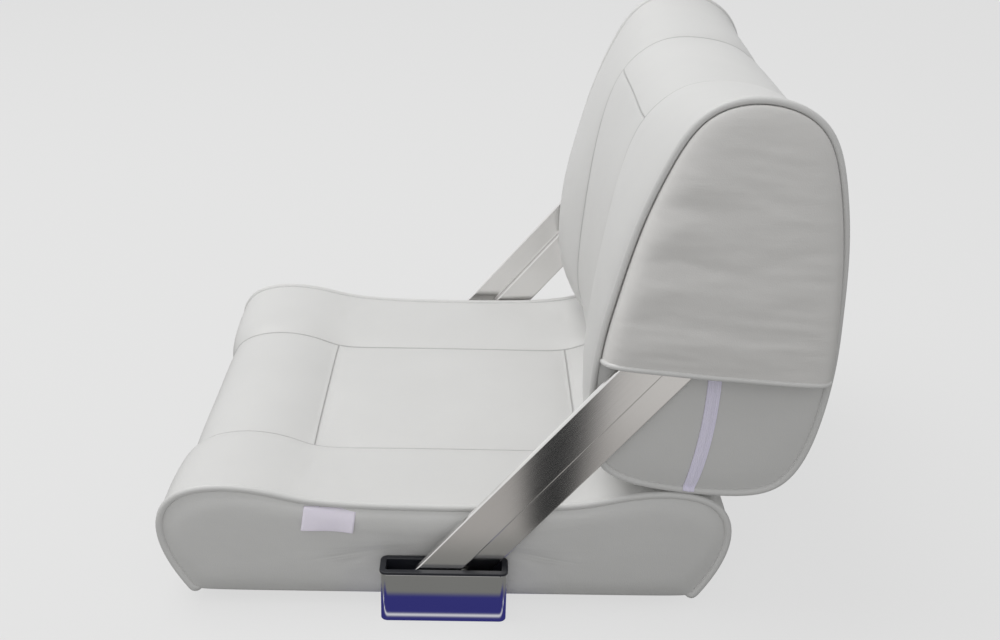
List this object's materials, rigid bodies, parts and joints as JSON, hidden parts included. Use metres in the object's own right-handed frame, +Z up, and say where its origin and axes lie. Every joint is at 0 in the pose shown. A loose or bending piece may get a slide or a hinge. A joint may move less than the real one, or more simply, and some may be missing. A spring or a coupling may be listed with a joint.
{
  "type": "boat helm seat",
  "caption": "Low boat helm seat in off-white vinyl whose padded backrest swings over on flat steel bars, so the sitter can face either way.",
  "frame": {"origin": "centre of the flat underside, on the cross strap's lower face", "axes": "+Z up, the sitter faces -Y, +X is the sitter's left"},
  "size_m": [0.5022, 0.5686, 0.457],
  "materials": {
    "vinyl": "fine-grained off-white marine vinyl, satin",
    "flap_vinyl": "off-white marine vinyl, softly creased, satin",
    "welt_vinyl": "off-white vinyl piping",
    "polished_steel": "polished stainless steel with fine lengthwise lines",
    "zinc": "zinc-plated steel",
    "black_plastic": "black moulded plastic",
    "nylon": "natural nylon",
    "plywood": "sealed plywood",
    "zip_tape": "lavender-white woven zip tape with a nylon coil",
    "tag_cloth": "white woven tape, blank"
  },
  "bodies": {
    "seat": {"seat_board": "plywood", "seat_cushion": "vinyl", "cross_strap": "polished_steel", "seam_tag": "tag_cloth", "seat_welt_left": "welt_vinyl", "socket_left": "polished_steel", "socket_liner_left": "black_plastic", "lower_front_pin_left": "zinc", "lower_rear_pin_left": "zinc", "seat_welt_right": "welt_vinyl", "socket_right": "polished_steel", "socket_liner_right": "black_plastic", "lower_front_pin_right": "zinc", "lower_rear_pin_right": "zinc", "strap_screw_1": "zinc", "tee_nut_1": "zinc", "strap_screw_2": "zinc", "tee_nut_2": "zinc", "strap_screw_3": "zinc", "tee_nut_3": "zinc", "strap_screw_4": "zinc", "tee_nut_4": "zinc"},
    "front_arms": {"front_link_left": "polished_steel", "lower_front_bush_left": "nylon", "upper_front_bush_left": "nylon", "front_link_right": "polished_steel", "lower_front_bush_right": "nylon", "upper_front_bush_right": "nylon"},
    "rear_arms": {"rear_link_left": "polished_steel", "lower_rear_bush_left": "nylon", "upper_rear_bush_left": "nylon", "rear_link_right": "polished_steel", "lower_rear_bush_right": "nylon", "upper_rear_bush_right": "nylon"},
    "backrest": {"backrest_core": "plywood", "backrest_cushion": "vinyl", "zip_tape": "zip_tape", "zip_slider": "zinc", "backrest_bracket_left": "polished_steel", "upper_front_stud_left": "zinc", "upper_rear_stud_left": "zinc", "backrest_welt_left": "welt_vinyl", "side_flap_left": "flap_vinyl", "bracket_screw_left_1": "zinc", "bracket_screw_left_2": "zinc", "bracket_screw_left_3": "zinc", "bracket_screw_left_4": "zinc", "backrest_bracket_right": "polished_steel", "upper_front_stud_right": "zinc", "upper_rear_stud_right": "zinc", "backrest_welt_right": "welt_vinyl", "side_flap_right": "flap_vinyl", "bracket_screw_right_1": "zinc", "bracket_screw_right_2": "zinc", "bracket_screw_right_3": "zinc", "bracket_screw_right_4": "zinc"}
  },
  "joints": [
    {"name": "arm_swing", "type": "hinge", "parent": "seat", "child": "front_arms", "pos_m": [0, -0.015, 0.036], "axis": [1, 0, 0], "range_deg": [0, 78]},
    {"name": "rear_arm_swing", "type": "hinge", "parent": "seat", "child": "rear_arms", "pos_m": [0, 0.015, 0.036], "axis": [1, 0, 0], "range_deg": [0, 78]},
    {"name": "backrest_pivot", "type": "hinge", "parent": "front_arms", "child": "backrest", "pos_m": [0, 0.19712, 0.2888], "axis": [1, 0, 0], "range_deg": [-78, 0]}
  ],
  "couplings": [
    {"joint": "rear_arm_swing", "follows": "arm_swing", "ratio": 1},
    {"joint": "backrest_pivot", "follows": "arm_swing", "ratio": -1}
  ]
}
